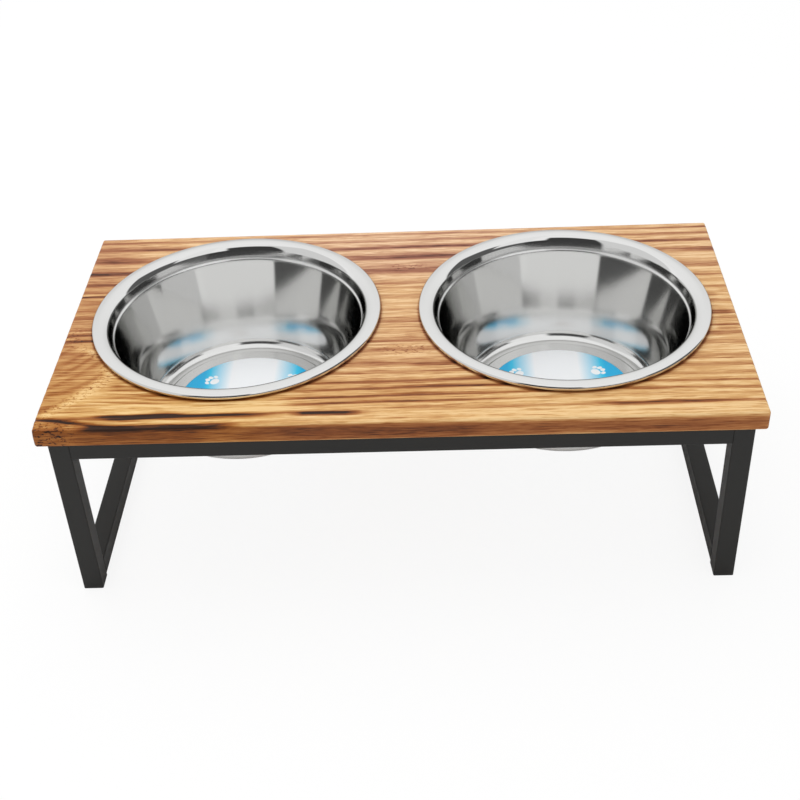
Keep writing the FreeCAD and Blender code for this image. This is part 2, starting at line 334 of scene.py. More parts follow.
class Surface:
    """Grids of points that are gathered and welded into one skin."""

    def __init__(self):
        self.points = []
        self.normals = []
        self.faces = []
        self.count = 0

    def add(self, points, normals, flip=False, loop=False):
        """Adds a grid of points with their outward directions, closed along its columns if it is a loop."""
        rows, columns = points.shape[:2]
        numbers = np.arange(rows * columns).reshape(rows, columns) + self.count
        if loop:
            numbers = np.concatenate([numbers, numbers[:, :1]], axis=1)
        self.points.append(points.reshape(-1, 3))
        self.normals.append(np.broadcast_to(normals, points.shape).reshape(-1, 3))
        self.faces.append(grid_faces(numbers, flip))
        self.count += rows * columns

    def weld(self):
        """Points, directions and faces with points at one place made one, and flat faces dropped."""
        points = np.concatenate(self.points)
        normals = np.concatenate(self.normals)
        faces = np.concatenate(self.faces)
        keys = np.round((points + WELD_SHIFT_MM) / WELD_STEP_MM).astype(np.int64)
        first, number = np.unique(keys, axis=0, return_index=True, return_inverse=True)[1:]
        faces = number.ravel()[faces]
        distinct = faces != np.roll(faces, -1, axis=1)
        kept = distinct.sum(axis=1)
        whole = faces[kept == 4]
        thirds = faces[kept == 3]
        corners = thirds[distinct[kept == 3]].reshape(-1, 3)
        return points[first], normals[first], whole.tolist() + corners.tolist()


def make_piece(name, points, faces, marks, material, body, node, brushing=None):
    """A smooth mesh piece from points in millimetres, with its named marks, in place of a CAD node.

    brushing gives each point a place on the sheet, for a finish that has a direction.
    """
    mesh = bpy.data.meshes.new(name)
    mesh.from_pydata((points * MM).tolist(), [], faces)
    mesh.polygons.foreach_set("use_smooth", np.ones(len(faces), dtype=bool))
    for mark, values in marks.items():
        layer = mesh.attributes.new(mark, "FLOAT", "POINT")
        layer.data.foreach_set("value", values.astype(np.float32).ravel())
    mesh.materials.append(material)
    mesh.update()
    if brushing is not None:
        corners = np.empty(len(mesh.loops), dtype=np.int32)
        mesh.loops.foreach_get("vertex_index", corners)
        sheet = mesh.uv_layers.new(name="brushing")
        sheet.data.foreach_set("uv", brushing[corners].astype(np.float32).ravel())
    piece = bpy.data.objects.new(name, mesh)
    bpy.context.scene.collection.objects.link(piece)
    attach(piece, body)
    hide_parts(node)
    return piece


def plug(node, links):
    """Gives a node's inputs values or other nodes' outputs; a plain row fills the inputs in their order."""
    for socket, value in links.items() if isinstance(links, dict) else enumerate(links):
        if isinstance(value, bpy.types.NodeSocket):
            node.id_data.links.new(value, node.inputs[socket])
        else:
            node.inputs[socket].default_value = value


def add_node(tree, kind, links=(), out=0, stops=(), **choices):
    """Adds a shader node with its choices, inputs and colour stops, and returns one of its outputs."""
    made = tree.nodes.new("ShaderNode" + kind)
    for name, value in choices.items():
        setattr(made, name, value)
    plug(made, links)
    elements = made.color_ramp.elements if stops else ()
    for number, (place, colour) in enumerate(stops):
        element = elements[number] if number < 2 else elements.new(place)
        element.position = place
        element.color = colour
    return made.outputs[out]


def new_material(name):
    """A bare material, what adds nodes to it, and its shader."""
    material = bpy.data.materials.new(name)
    material.use_nodes = True
    tree = material.node_tree
    return material, partial(add_node, tree), tree.nodes["Principled BSDF"]


def grey(value):
    """A neutral ramp colour."""
    return (value, value, value, 1.0)


def grained(add, per_metre, detail, *gloss):
    """Fine noise in a piece's own coordinates, and the gloss that it shifts between two values."""
    place = add("TexCoord", out="Object")
    noise = add("TexNoise", {"Vector": place, "Scale": per_metre, "Detail": detail})
    return noise, add("MapRange", (noise, 0.0, 1.0, *gloss))


# Steps of the plank's skin, closer at the left for the bent grain
FRONT_ROWS = 46
CUTOUT_ROWS = 220
BACK_ROWS = 24
LEFT_COLUMNS = 52
MIDDLE_COLUMNS = 42
RIGHT_COLUMNS = 20
ROUND_STEPS = 4
SIDE_STEPS = 4


def board_rows():
    """Rows of the plank's faces along Y, with half the width of the cut-outs at each row.

    Rows beside the cut-outs are even. Between them y = middle + radius * sin(angle), so that the
    rows close up where a cut-out begins and ends.
    """
    radius = CUTOUT_RADIUS_MM + CUTOUT_ROUND_MM
    front = BOARD_LOW[1] + BOARD_ROUND_MM
    back = BOARD_HIGH[1] - BOARD_ROUND_MM
    angles = np.linspace(-np.pi / 2, np.pi / 2, CUTOUT_ROWS + 1)
    before = np.linspace(front, BOWL_Y_MM - radius, FRONT_ROWS + 1)[:-1]
    after = np.linspace(BOWL_Y_MM + radius, back, BACK_ROWS + 1)[1:]
    places = np.concatenate([before, BOWL_Y_MM + radius * np.sin(angles), after])
    chords = np.concatenate([0 * before, radius * np.cos(angles), 0 * after])
    return places, chords, angles


def board_blocks(places, chords):
    """The three runs of each row: left of, between and right of the cut-outs, as grids of X and Y."""
    half = BOARD_HIGH[0] - BOARD_ROUND_MM
    runs = (
        (np.full_like(chords, -half), -BOWL_X_MM - chords, LEFT_COLUMNS),
        (chords - BOWL_X_MM, BOWL_X_MM - chords, MIDDLE_COLUMNS),
        (BOWL_X_MM + chords, np.full_like(chords, half), RIGHT_COLUMNS),
    )
    blocks = []
    for start, stop, columns in runs:
        x = start[:, None] + (stop - start)[:, None] * np.linspace(0, 1, columns + 1)
        blocks.append(np.stack(np.broadcast_arrays(x, places[:, None]), axis=-1))
    return blocks


def edge_profile(radius, thickness):
    """A rounded edge from the top face to the underside: how far out, how far down, and its direction.

    A quarter turn, a straight side and another quarter turn.
    """
    turn = np.linspace(0, np.pi / 2, ROUND_STEPS + 1)
    side = np.linspace(radius, thickness - radius, SIDE_STEPS + 1)[1:-1]
    flat = np.full_like(side, np.pi / 2)
    angle = np.concatenate([turn, flat, np.pi - turn[::-1]])
    out = radius * np.sin(angle)
    down = np.concatenate([radius * (1 - np.cos(turn)), side, thickness - radius * (1 - np.cos(turn[::-1]))])
    return out, down, np.sin(angle), np.cos(angle)


def carried_edge(skin, loop, outward, radius, flip):
    """Carries the rounded edge along a closed loop of top points with their level outward directions."""
    out, down, level, up = edge_profile(radius, BOARD_HIGH[2] - BOARD_LOW[2])
    flat = loop[None] + outward[None] * out[:, None, None]
    height = np.broadcast_to((BOARD_TOP_MM - down)[:, None, None], (*flat.shape[:2], 1))
    lift = np.broadcast_to(up[:, None, None], height.shape)
    points = np.concatenate([flat, height], axis=-1)
    normals = np.concatenate([outward[None] * level[:, None, None], lift], axis=-1)
    skin.add(points, normals, flip=flip, loop=True)


def outer_loop(blocks):
    """The top face's outline, anticlockwise, with a fan of directions at each corner."""
    front = np.concatenate([block[0] for block in blocks])
    back = np.concatenate([block[-1] for block in blocks])
    sides = (front, blocks[2][:, -1], back[::-1], blocks[0][::-1, 0])
    loop = []
    outward = []
    for number, side in enumerate(sides):
        angle = np.pi / 2 * (number - 1)
        fan = angle + np.linspace(0, np.pi / 2, ROUND_STEPS + 1)[1:-1]
        angles = np.concatenate([np.full(len(side), angle), fan])
        loop.append(np.concatenate([side, np.repeat(side[-1:], len(fan), axis=0)]))
        outward.append(np.stack([np.cos(angles), np.sin(angles)], axis=-1))
    return np.concatenate(loop), np.concatenate(outward)


def stretch(low, high, soft, value):
    """One between low and high, nought outside, with a soft border at each end."""
    return rise(low - soft, low + soft, value) * (1 - rise(high - soft, high + soft, value))


def patches(table, x, y):
    """The sum of a table's patches at each point."""
    return sum(share * stretch(left, right, soft_x, x) * stretch(front, back, soft_y, y)
               for left, right, front, back, soft_x, soft_y, share in table.values())


def waves(table, x, y):
    """The sum of a table's waves at each point."""
    return sum(height * np.sin(x / run + y / climb + start) for height, run, climb, start in table)


def wood_marks(points):
    """Where each point lies in the tree's rings, and how the flame and the brush left it.

    ring counts growth rings from the back edge: its whole numbers are the dark lines. The rings bow
    with depth, since they are arcs round a heart below the plank, and drift along the length.
    branch counts the slanting rings of the bent grain at the left front corner. The crack there comes
    on its own, since only the relief needs it.
    """
    x, y, z = points.T
    depth = BOARD_TOP_MM - z
    off_heart = y - HEART_Y_MM
    bowed = y - depth * HEART_BOW_MM * off_heart / (off_heart ** 2 + HEART_REACH_MM ** 2)
    back_drift = BACK_DRIFT_MM * rise(*BACK_DRIFT_LEFT_MM, -x) * bump(*BACK_DRIFT_Y_MM, y)
    place = bowed + back_drift + patches(DRIFT_PATCHES, x, y) + waves(RING_WAVES_MM, x, y)
    lines = BOARD_HIGH[1] - np.cumsum(RING_WIDTHS_MM)
    counts = np.arange(1, len(lines) + 1)
    ring = np.interp(-place, -lines, counts, left=np.nan)
    ring = np.where(np.isnan(ring), 1 + (lines[0] - place) / RING_WIDTHS_MM[0], ring)
    left, middle, right = (np.interp(ring, counts, shares) for shares in RING_BURN_SHARES)
    burn = left + (middle - left) * rise(*LEFT_TO_MIDDLE_MM, x)
    burn = burn + (right - burn) * rise(*MIDDLE_TO_RIGHT_MM, x)
    # The flame passed unevenly: darker lengths of single lines
    passes = [np.sin(x / run + ring * shift + start) for run, shift, start in FLAME_WAVES_MM]
    burn = burn * (FLAME_MEAN_SHARE + FLAME_SWING_SHARE * passes[0] * passes[1])
    on_top = 1 - rise(*TOP_DEPTH_MM, depth)
    scorch = on_top * patches(BURNT_PATCHES, x, y + waves(SCORCH_WAVES_MM, x, y))
    # Bent grain at the left front corner, behind a pale ridge
    off_ridge = np.interp(y, RIDGE_Y_MM, RIDGE_X_MM) - x
    corner = rise(*BENT_BACK_MM, -y) * rise(*BENT_FRONT_MM, y)
    bent = rise(-BENT_BORDER_MM, BENT_BORDER_MM, off_ridge) * corner
    across = BRANCH_SLANT_SHARES[0] * x + BRANCH_SLANT_SHARES[1] * y
    branch = (across - BRANCH_START_MM) / BRANCH_RING_MM + waves(BRANCH_WAVES_MM, x, y)
    crest = bump(0, RIDGE_WIDTH_MM, off_ridge) * corner
    burn = burn * (1 - RIDGE_PALE_SHARE * bump(0, RIDGE_FADE_MM, off_ridge) * corner)
    spots = crest + patches(SPECKLED_PATCHES, x, y)
    crack = bump(0, CRACK_WIDTH_MM, y - np.interp(x, CRACK_X_MM, CRACK_Y_MM))
    crack = crack * (1 - rise(*CRACK_END_MM, x)) * on_top
    # Fine lines that spread out to the right of the ridge
    spread = 1 + (x - FAN_START_X_MM) / FAN_LENGTH_MM
    fanned = (y - FAN_Y_MM) / spread + waves(FAN_WAVES_MM, x, y)
    fan = np.cos(np.pi * fanned / FAN_LINE_MM) ** 4 * patches(FANNED_PATCHES, x, y) * (1 - bent)
    toast = on_top * (patches(TOASTED_PATCHES, x, y) + fan)
    toast = toast + BENT_TOAST_SHARE * bent + CRACK_TOAST_SHARE * crack
    # The front face is darkened partly for its burn and partly as painted shade, since it gets less light
    # than the top
    face = rise(*FACE_AHEAD_MM, -y) * rise(*FACE_TOP_MM, depth)
    face = face * (1 - FACE_FOOT_SHARE * rise(*FACE_FOOT_MM, depth))
    face = face * sum(share * stretch(*limits, x) for *limits, share in FACE_STRETCHES.values())
    blush = sum(share * rise(low, high, y) for low, high, share in BLUSH_GAINS.values())
    blush = blush * (1 - BLUSH_END_SHARE * rise(*BLUSH_ENDS_MM, np.abs(x)))
    return {"ring": ring, "burn": np.clip(burn, 0, BURN_MOST_SHARE), "scorch": scorch, "branch": branch,
            "bent": bent, "crest": crest, "spots": np.clip(spots, 0, 1), "front": face, "toast": toast,
            "blush": blush, "honey": patches(GOLDEN_PATCHES, x, y)}, crack


def line_hollow(ring):
    """Cross-section of a brushed ring: a slow fall to the dark line, and a short rise after it."""
    share = ring - np.floor(ring)
    return rise(*HOLLOW_FALL_SHARES, share) * (1 - rise(*HOLLOW_RISE_SHARES, share))


def plank_relief(points, normals, marks, crack):
    """How deep the surface lies below the smooth plank at each point.

    Brushed grooves follow the rings. The left front edge is worn, with a burnt crack behind it.
    """
    plank = settings("plank")
    x, y, z = points.T
    up = np.clip(normals[:, 2], 0, 1)
    grooves = line_hollow(marks["ring"]) * np.clip(marks["burn"], LEAST_GROOVE_SHARE, 1) * (1 - marks["bent"])
    slanting = SLANT_GROOVE_SHARE * line_hollow(marks["branch"]) * marks["bent"]
    brushed = SIDE_GROOVE_SHARE + (1 - SIDE_GROOVE_SHARE) * up
    depth = plank.groove_depth / MM * (grooves + slanting) * brushed
    worn = patches(WORN_PATCHES, x, y) * rise(*WORN_RISE_MM, z - BOARD_TOP_MM)
    worn = worn * (SIDE_WEAR_SHARE + (1 - SIDE_WEAR_SHARE) * up)
    sunk = SCORCH_SINK_MM * marks["scorch"] + CRACK_SINK_MM * crack
    return depth + plank.worn_drop / MM * worn + sunk * up


# Noise in the wood: fibres of about 1.4 by 22 mm, coarse so that they show, streaks of 3 by 90 mm, clouds of
# burn of 15 by 80 mm, flecks of 2 by 4 mm, and pores, dark dashes of 1 by 30 mm. Each: cycles in a metre
# along and across the grain, its start, detail, roughness and distortion.
WOOD_NOISES = {
    "fibres": (45, 720, (0, 0, 0), 3.0, 0.65, 0.0),
    "streaks": (11, 330, (0, 0, 0), 3.0, 0.5, 0.3),
    "clouds": (13, 65, (0, 0, 0), 3.0, 0.5, 0.0),
    "flecks": (240, 520, (0, 0, 0), 2.0, 0.7, 0.0),
    "pores": (34, 950, (3, 7, 1), 2.0, 0.6, 0.0),
}
# What the noise does. Each: the noise, two of its values, and what these two become.
WOOD_RANGE_SHARES = {
    "uneven": ("clouds", 0.3, 0.7, 0.5, 1.25),
    "fine": ("fibres", 0.3, 0.7, -0.11, 0.17),
    "broad": ("streaks", 0.3, 0.7, -0.08, 0.14),
    "ragged": ("streaks", 0.35, 0.62, 0.35, 1.15),
    "dashes": ("pores", 0.55, 0.68, 0.0, 1.0),
    "speckles": ("flecks", 0.54, 0.64, 0.0, 1.0),
    "gloss": ("fibres", 0.3, 0.7, 0.5, 0.7),
}
# How dark each place in a ring is: a line, a quick fade, pale wood, then slowly darker to the next line
LINE_STOP_SHARES = ((0.0, 0.92), (1.0, 0.92), (0.05, 1.0), (0.14, 1.0), (0.20, 0.82), (0.27, 0.36),
                    (0.35, 0.08), (0.50, 0.0), (0.70, 0.10), (0.86, 0.46))
WANDER_SHARES = {"streaks": 0.12, "fibres": 0.06}
SLANT_LINE_SHARE = 0.17
# What shades the wood besides its lines, and how much of each
SHADE_SHARES = {"fine": 1.0, "broad": 1.0, "dashes": 0.26, "toast": 1.0, "speckles": 0.5, "crest": -0.20,
                "front": 1.0, "rim_shadow": 0.42}
# A narrow painted shadow ring on the wood under the edge of each rim: where it starts and ends, from the
# bowl's middle
RIM_SHADOW_BORDERS_MM = ((129.0, 131.5), (135.2, 132.6))
# Where each colour of the wood stands between pale and charred
TONE_STOP_SHARES = {"pale": 0.0, "charred": 1.0, "golden": 0.13, "brown": 0.44, "burnt": 0.72}
# Hue and saturation of the more golden left front, and of the pinker back
WOOD_TINT_SHARES = {"honey": (0.503, 1.04), "blush": (0.49, 0.84)}
FIBRE_STRENGTH = 0.35
FIBRE_HEIGHT = 0.0003
OIL_IOR = 1.46
OIL_GLOSS = 0.3


def make_plank_material(marks):
    """Softwood plank, scorched with a flame and brushed with wire, under a thin satin oil.

    The eye sees pale spring wood between lines of dark summer wood that fade on one side and stop
    short on the other, fine fibres along the length, dark flecks, browner edges, and a painted shadow under
    each rim.
    """
    plank = settings("plank")
    material, add, shader = new_material("flame_burnt_brushed_pine")
    values = {name: add("Attribute", out="Fac", attribute_name=name) for name in marks}
    place = add("TexCoord", out="Object")
    for name, (along, across, start, detail, roughness, distortion) in WOOD_NOISES.items():
        scaled = add("Mapping", {"Vector": place, "Location": start, "Scale": (along, across, across)})
        values[name] = add("TexNoise", {"Vector": scaled, "Scale": 1.0, "Detail": detail,
                                        "Roughness": roughness, "Distortion": distortion})
    for name, (noise, *limits) in WOOD_RANGE_SHARES.items():
        values[name] = add("MapRange", (values[noise], *limits))
    darkness = [(at, grey(share)) for at, share in LINE_STOP_SHARES]
    shades = []
    for mark in ("ring", "branch"):
        wander = values[mark]
        for noise, share in WANDER_SHARES.items():
            wander = add("Math", (values[noise], share, wander), operation="MULTIPLY_ADD")
        within = add("Math", (wander,), operation="FRACT")
        shades.append(add("ValToRGB", (within,), stops=darkness))
    straight = add("Math", (shades[0], values["burn"]), operation="MULTIPLY")
    slanting = add("Math", (shades[1], SLANT_LINE_SHARE), operation="MULTIPLY")
    lines = add("Mix", {"Factor": values["bent"], "A": straight, "B": slanting})
    lines = add("Math", (lines, values["uneven"]), operation="MULTIPLY")
    shade = add("Math", (values["scorch"], values["ragged"], lines), operation="MULTIPLY_ADD")
    values["speckles"] = add("Math", (values["speckles"], values["spots"]), operation="MULTIPLY")
    # Painted shadow along the line where each bowl's rim rests
    flat = add("Mapping", {"Vector": place, "Scale": (1.0, 1.0, 0.0)})
    gaps = [add("VectorMath", (flat, (end * BOWL_X_MM * MM, BOWL_Y_MM * MM, 0.0)), out="Value",
                operation="DISTANCE") for end in BOWL_SIGNS.values()]
    nearer = add("Math", gaps, operation="MINIMUM")
    values["rim_shadow"] = 1.0
    # Painted shadow: darkest just outside each rim's edge, fading within a few millimetres
    for unshadowed, shadowed in RIM_SHADOW_BORDERS_MM:
        border = add("MapRange", (nearer, unshadowed * MM, shadowed * MM), interpolation_type="SMOOTHSTEP")
        values["rim_shadow"] = add("Math", (border, values["rim_shadow"]), operation="MULTIPLY")
    for name, share in SHADE_SHARES.items():
        shade = add("Math", (values[name], share, shade), operation="MULTIPLY_ADD")
    tones = [(share, getattr(plank, name)) for name, share in TONE_STOP_SHARES.items()]
    colour = add("ValToRGB", (shade,), stops=tones)
    for mark, (hue, saturation) in WOOD_TINT_SHARES.items():
        colour = add("HueSaturation", (hue, saturation, 1.0, values[mark], colour))
    grain = add("Bump", {"Strength": FIBRE_STRENGTH, "Distance": FIBRE_HEIGHT, "Height": values["fibres"]})
    plug(shader, {"Base Color": colour, "Roughness": values["gloss"], "Normal": grain, "IOR": OIL_IOR,
                  "Specular IOR Level": OIL_GLOSS})
    return material


class FEEDER_OT_plank(bpy.types.Operator):
    """Builds the burnt plank with its brushed grooves and two cut-outs"""

    bl_idname = "feeder.plank"
    bl_label = "Plank"

    def execute(self, context):
        places, chords, angles = board_rows()
        blocks = board_blocks(places, chords)
        skin = Surface()
        for block in blocks:
            for height, lift, flip in ((BOARD_TOP_MM, 1.0, False), (BOARD_LOW[2], -1.0, True)):
                level = np.full((*block.shape[:2], 1), height)
                skin.add(np.concatenate([block, level], axis=-1), np.array([0.0, 0.0, lift]), flip=flip)
        loop, outward = outer_loop(blocks)
        carried_edge(skin, loop, outward, BOARD_ROUND_MM, flip=True)
        turn = np.concatenate([angles, np.pi - angles[::-1][1:-1]])
        inward = -np.stack([np.cos(turn), np.sin(turn)], axis=-1)
        for end in BOWL_SIGNS.values():
            centre = np.array([end * BOWL_X_MM, BOWL_Y_MM])
            edge = centre - inward * (CUTOUT_RADIUS_MM + CUTOUT_ROUND_MM)
            carried_edge(skin, edge, inward, CUTOUT_ROUND_MM, flip=False)
        points, normals, faces = skin.weld()
        marks, crack = wood_marks(points)
        sunk = points - normals * plank_relief(points, normals, marks, crack)[:, None]
        wood = make_plank_material(marks)
        make_piece("burnt_plank", sunk, faces, marks, wood, "stand", "top_board")
        return {"FINISHED"}


ARC_STEPS = 10
RUN_SHARES = (0.0, 0.02, 0.08, 0.22, 0.4, 0.6, 0.78, 0.92, 0.98, 1.0)


def unit(rows):
    """Rows as directions of length one."""
    return rows / np.linalg.norm(rows, axis=1, keepdims=True)


def offset_corners(corners, gap):
    """The corners of the same section moved to its left by the gap, mitred at each corner."""
    along = unit(np.diff(corners, axis=0))
    sides = np.stack([-along[:, 1], along[:, 0]], axis=1)
    mitre = (sides[:-1] + sides[1:]) / (1 + (sides[:-1] * sides[1:]).sum(axis=1, keepdims=True))
    return corners + gap * np.concatenate([sides[:1], mitre, sides[-1:]])


def rounded_section(corners, rounds):
    """Straight runs through the corners, each inner corner turned with an arc of its own radius."""
    back = unit(corners[:-2] - corners[1:-1])
    ahead = unit(corners[2:] - corners[1:-1])
    half = np.arccos((back * ahead).sum(axis=1)) / 2
    reach = (rounds / np.tan(half))[:, None]
    centres = corners[1:-1] + unit(back + ahead) * (rounds / np.sin(half))[:, None]
    starts = corners[1:-1] + back * reach - centres
    stops = corners[1:-1] + ahead * reach - centres
    sweep = (np.pi - 2 * half)[:, None, None]
    share = np.linspace(0, 1, ARC_STEPS + 1)[None, :, None]
    turned_stops = np.sin(share * sweep) * stops[:, None]
    arcs = (np.sin((1 - share) * sweep) * starts[:, None] + turned_stops) / np.sin(sweep) + centres[:, None]
    run_starts = np.concatenate([corners[:1], arcs[:, -1]])
    run_stops = np.concatenate([arcs[:, 0], corners[-1:]])
    shares = np.array(RUN_SHARES)[None, :, None]
    runs = run_starts[:, None] + (run_stops - run_starts)[:, None] * shares
    pieces = [runs[0]]
    for arc, run in zip(arcs, runs[1:]):
        pieces.append(arc[1:-1])
        pieces.append(run)
    return np.concatenate(pieces)


def bowl_section():
    """The bowl's half section: down its visible side, and back along the hidden side of the sheet."""
    hem_top = RIM_SEAT_MM + 2 * HEM_RADIUS_MM
    seen = np.array([
        (RIM_RADIUS_MM - HEM_RETURN_MM, RIM_SEAT_MM),
        (RIM_RADIUS_MM, RIM_SEAT_MM),
        (RIM_RADIUS_MM, hem_top),
        (BOWL_MOUTH_RADIUS_MM, hem_top + FLANGE_RISE_MM),
        (NECK_RADIUS_MM, NECK_FOOT_MM),
        (WALL_TOP_RADIUS_MM, WALL_TOP_MM),
        (WALL_FOOT_RADIUS_MM, FLOOR_LOW_MM),
        (FLOOR_RING_RADIUS_MM, FLOOR_LOW_MM),
        (FLOOR_RADIUS_MM, FLOOR_HIGH_MM),
        (0.0, FLOOR_HIGH_MM),
    ])
    rounds = np.array(BOWL_ROUNDS_MM)
    before = np.diff(seen, axis=0)[:-1]
    after = np.diff(seen, axis=0)[1:]
    left_turn = before[:, 0] * after[:, 1] - before[:, 1] * after[:, 0] > 0
    hidden_rounds = rounds + np.where(left_turn, -BOWL_SHEET_MM, BOWL_SHEET_MM)
    hidden = rounded_section(offset_corners(seen, BOWL_SHEET_MM), hidden_rounds)
    return np.concatenate([rounded_section(seen, rounds), hidden[::-1], seen[:1]])


def turned(section, centre, turns):
    """A half section turned about an upright axis: (radius * cos, radius * sin, height) at each angle."""
    angle = np.linspace(0, 2 * np.pi, turns, endpoint=False)
    radius = section[:, :1]
    x = centre[0] + radius * np.cos(angle)
    y = centre[1] + radius * np.sin(angle)
    z = centre[2] + np.broadcast_to(section[:, 1:], x.shape)
    return np.stack([x, y, z], axis=-1)


# Times the polish, at shares of the section from the hem to the middle of the floor
POLISH_STOP_SHARES = ((0.0, 0.6), (1.0, 2.4), (0.132, 0.6), (0.141, 3.0), (0.151, 3.0), (0.162, 0.6),
                      (0.26, 0.7), (0.40, 0.9), (0.52, 1.5), (0.62, 1.8), (0.70, 2.4))
# The wheel's rings: how many in a millimetre, how they stand out, and two of their values with the blur's
WHEEL_RINGS_PER_MM = 1.2
WHEEL_DETAIL = 3.0
WHEEL_STRENGTH = 0.05
WHEEL_HEIGHT = 0.0001
WHEEL_RANGE_SHARES = (0.3, 0.7, 0.85, 1.15)


def make_steel_material():
    """Stainless sheet, spun and polished: bright, with faint rings left by the polishing wheel."""
    bowl = settings("bowl")
    material, add, shader = new_material("polished_stainless_steel")
    # Polishing rings about 0.8 mm apart, so faint that they only soften the reflections
    along = add("Attribute", out="Fac", attribute_name="along")
    wheel = {"W": along, "Scale": WHEEL_RINGS_PER_MM, "Detail": WHEEL_DETAIL}
    rings = add("TexNoise", wheel, noise_dimensions="1D")
    # The lip is bright, the wall less so, and the foot and floor are left satin
    down = add("MapRange", {"Value": along, "From Max": bowl.seen_length / MM})
    finish = [(place, grey(bowl.polish * times)) for place, times in POLISH_STOP_SHARES]
    satin = add("ValToRGB", (down,), stops=finish)
    blur = add("MapRange", (rings, *WHEEL_RANGE_SHARES))
    blur = add("Math", (satin, blur), operation="MULTIPLY")
    ripple = add("Bump", {"Strength": WHEEL_STRENGTH, "Distance": WHEEL_HEIGHT, "Height": rings})
    # The wheel's rings run round the bowl, so reflections smear up and down the section
    smear = add("Tangent", direction_type="UV_MAP", uv_map="brushing")
    plug(shader, {"Metallic": 1.0, "Base Color": bowl.steel, "Specular Tint": bowl.grazing,
                  "Roughness": blur, "Normal": ripple, "Tangent": smear, "Anisotropic": bowl.smear})
    return material


class FEEDER_OT_bowls(bpy.types.Operator):
    """Turns both steel bowls from one section"""

    bl_idname = "feeder.bowls"
    bl_label = "Bowls"

    def execute(self, context):
        steel = make_steel_material()
        section = bowl_section()
        lengths = np.linalg.norm(np.diff(section, axis=0), axis=1)
        along = np.concatenate([[0], np.cumsum(lengths)])
        turns = settings("bowl").turns
        for name, end in BOWL_SIGNS.items():
            points = turned(section, (end * BOWL_X_MM, BOWL_Y_MM, BOARD_TOP_MM), turns)
            mark = np.broadcast_to(along[:, None, None], (*points.shape[:2], 3))
            skin = Surface()
            skin.add(points, mark, loop=True)
            welded, marks, faces = skin.weld()
            angle = np.arctan2(welded[:, 1] - BOWL_Y_MM, welded[:, 0] - end * BOWL_X_MM)
            sheet = np.stack([marks[:, 0] / along[-1], np.cos(angle / 2)], axis=-1)
            make_piece(name + "_steel_bowl", welded, faces, {"along": marks[:, 0]}, steel,
                       name + "_bowl", name + "_bowl", brushing=sheet)
        return {"FINISHED"}


LABEL_RINGS = 70
LABEL_TURNS = 240
PAW_COUNT = 7
PAW_RING_SHARE = 0.72
PAW_SIZE_MM = 8.0
MIDDLE_PAW_SIZE_MM = 9.0
# A paw print in sizes of its pad: places and half widths of the pad and the four toes
PAW_SHARES = ((0.0, -0.25, 0.62, 0.50), (-0.78, 0.32, 0.23, 0.32), (-0.28, 0.72, 0.24, 0.34),
              (0.28, 0.72, 0.24, 0.34), (0.78, 0.32, 0.23, 0.32))
PRINT_EDGE_MM = 0.2
# The painted reflection, a pale strip down the label's middle, in label radii: its half width, how it widens
# ahead, where that starts, and its colours
REFLECTION_HALF_SHARE = 0.7
REFLECTION_FAN_SHARE = 1.25
REFLECTION_START_SHARE = -0.2
REFLECTION_STOP_SHARES = {"glow": 0.44, "rim": 1.0, "sky": 0.90}
# Paper fibre about 0.6 mm across: fibres in a metre, their detail, and the gloss that they shift between
PAPER_FIBRE = (1600.0, 2.0, 0.24, 0.36)
PAPER_IOR = 1.5


def paw_distance(x, y, size):
    """Rough distance to the outline of a paw print: the nearest of five ovals, negative inside."""
    ovals = [(np.hypot((x / size - across) / wide, (y / size - up) / high) - 1) * min(wide, high) * size
             for across, up, wide, high in PAW_SHARES]
    return np.min(ovals, axis=0)


def label_marks(x, y):
    """How far each point of a label is from its middle, and from the prints on it, in millimetres."""
    radius = np.hypot(x, y)
    angle = np.arctan2(x, y)
    step = 2 * np.pi / PAW_COUNT
    near = angle - step * np.round(angle / step)
    ring_radius = PAW_RING_SHARE * LABEL_RADIUS_MM
    ring = paw_distance(radius * np.sin(near), radius * np.cos(near) - ring_radius, PAW_SIZE_MM)
    middle = paw_distance(x, y, MIDDLE_PAW_SIZE_MM)
    # Painted reflection: a pale strip down the middle that widens towards the label's front
    ahead = rise(REFLECTION_START_SHARE * LABEL_RADIUS_MM, LABEL_RADIUS_MM, -y)
    glow = np.abs(x) / (REFLECTION_HALF_SHARE + REFLECTION_FAN_SHARE * ahead) / LABEL_RADIUS_MM
    return {"glow": glow, "paw_ring": ring, "paw_middle": middle}


def make_label_material():
    """Coated paper, printed: bright flat colour under a thin gloss, with a hint of fibre."""
    label = settings("label")
    material, add, shader = new_material("printed_coated_paper")
    marks = {name: add("Attribute", out="Fac", attribute_name=name)
             for name in ("glow", "paw_ring", "paw_middle")}
    # The ground runs from white down the middle to deeper blue at the sides: a painted reflection
    grounds = [(share, getattr(label, name)) for name, share in REFLECTION_STOP_SHARES.items()]
    ink = add("ValToRGB", (marks["glow"],), stops=grounds)
    for mark, colour in (("paw_ring", label.glow), ("paw_middle", label.print_dark)):
        inside = add("MapRange", (marks[mark], -PRINT_EDGE_MM, PRINT_EDGE_MM, 1.0, 0.0))
        ink = add("Mix", {"Factor": inside, "A": ink, "B": colour}, out="Result", data_type="RGBA")
    gloss = grained(add, *PAPER_FIBRE)[1]
    plug(shader, {"Base Color": ink, "Roughness": gloss, "IOR": PAPER_IOR})
    return material


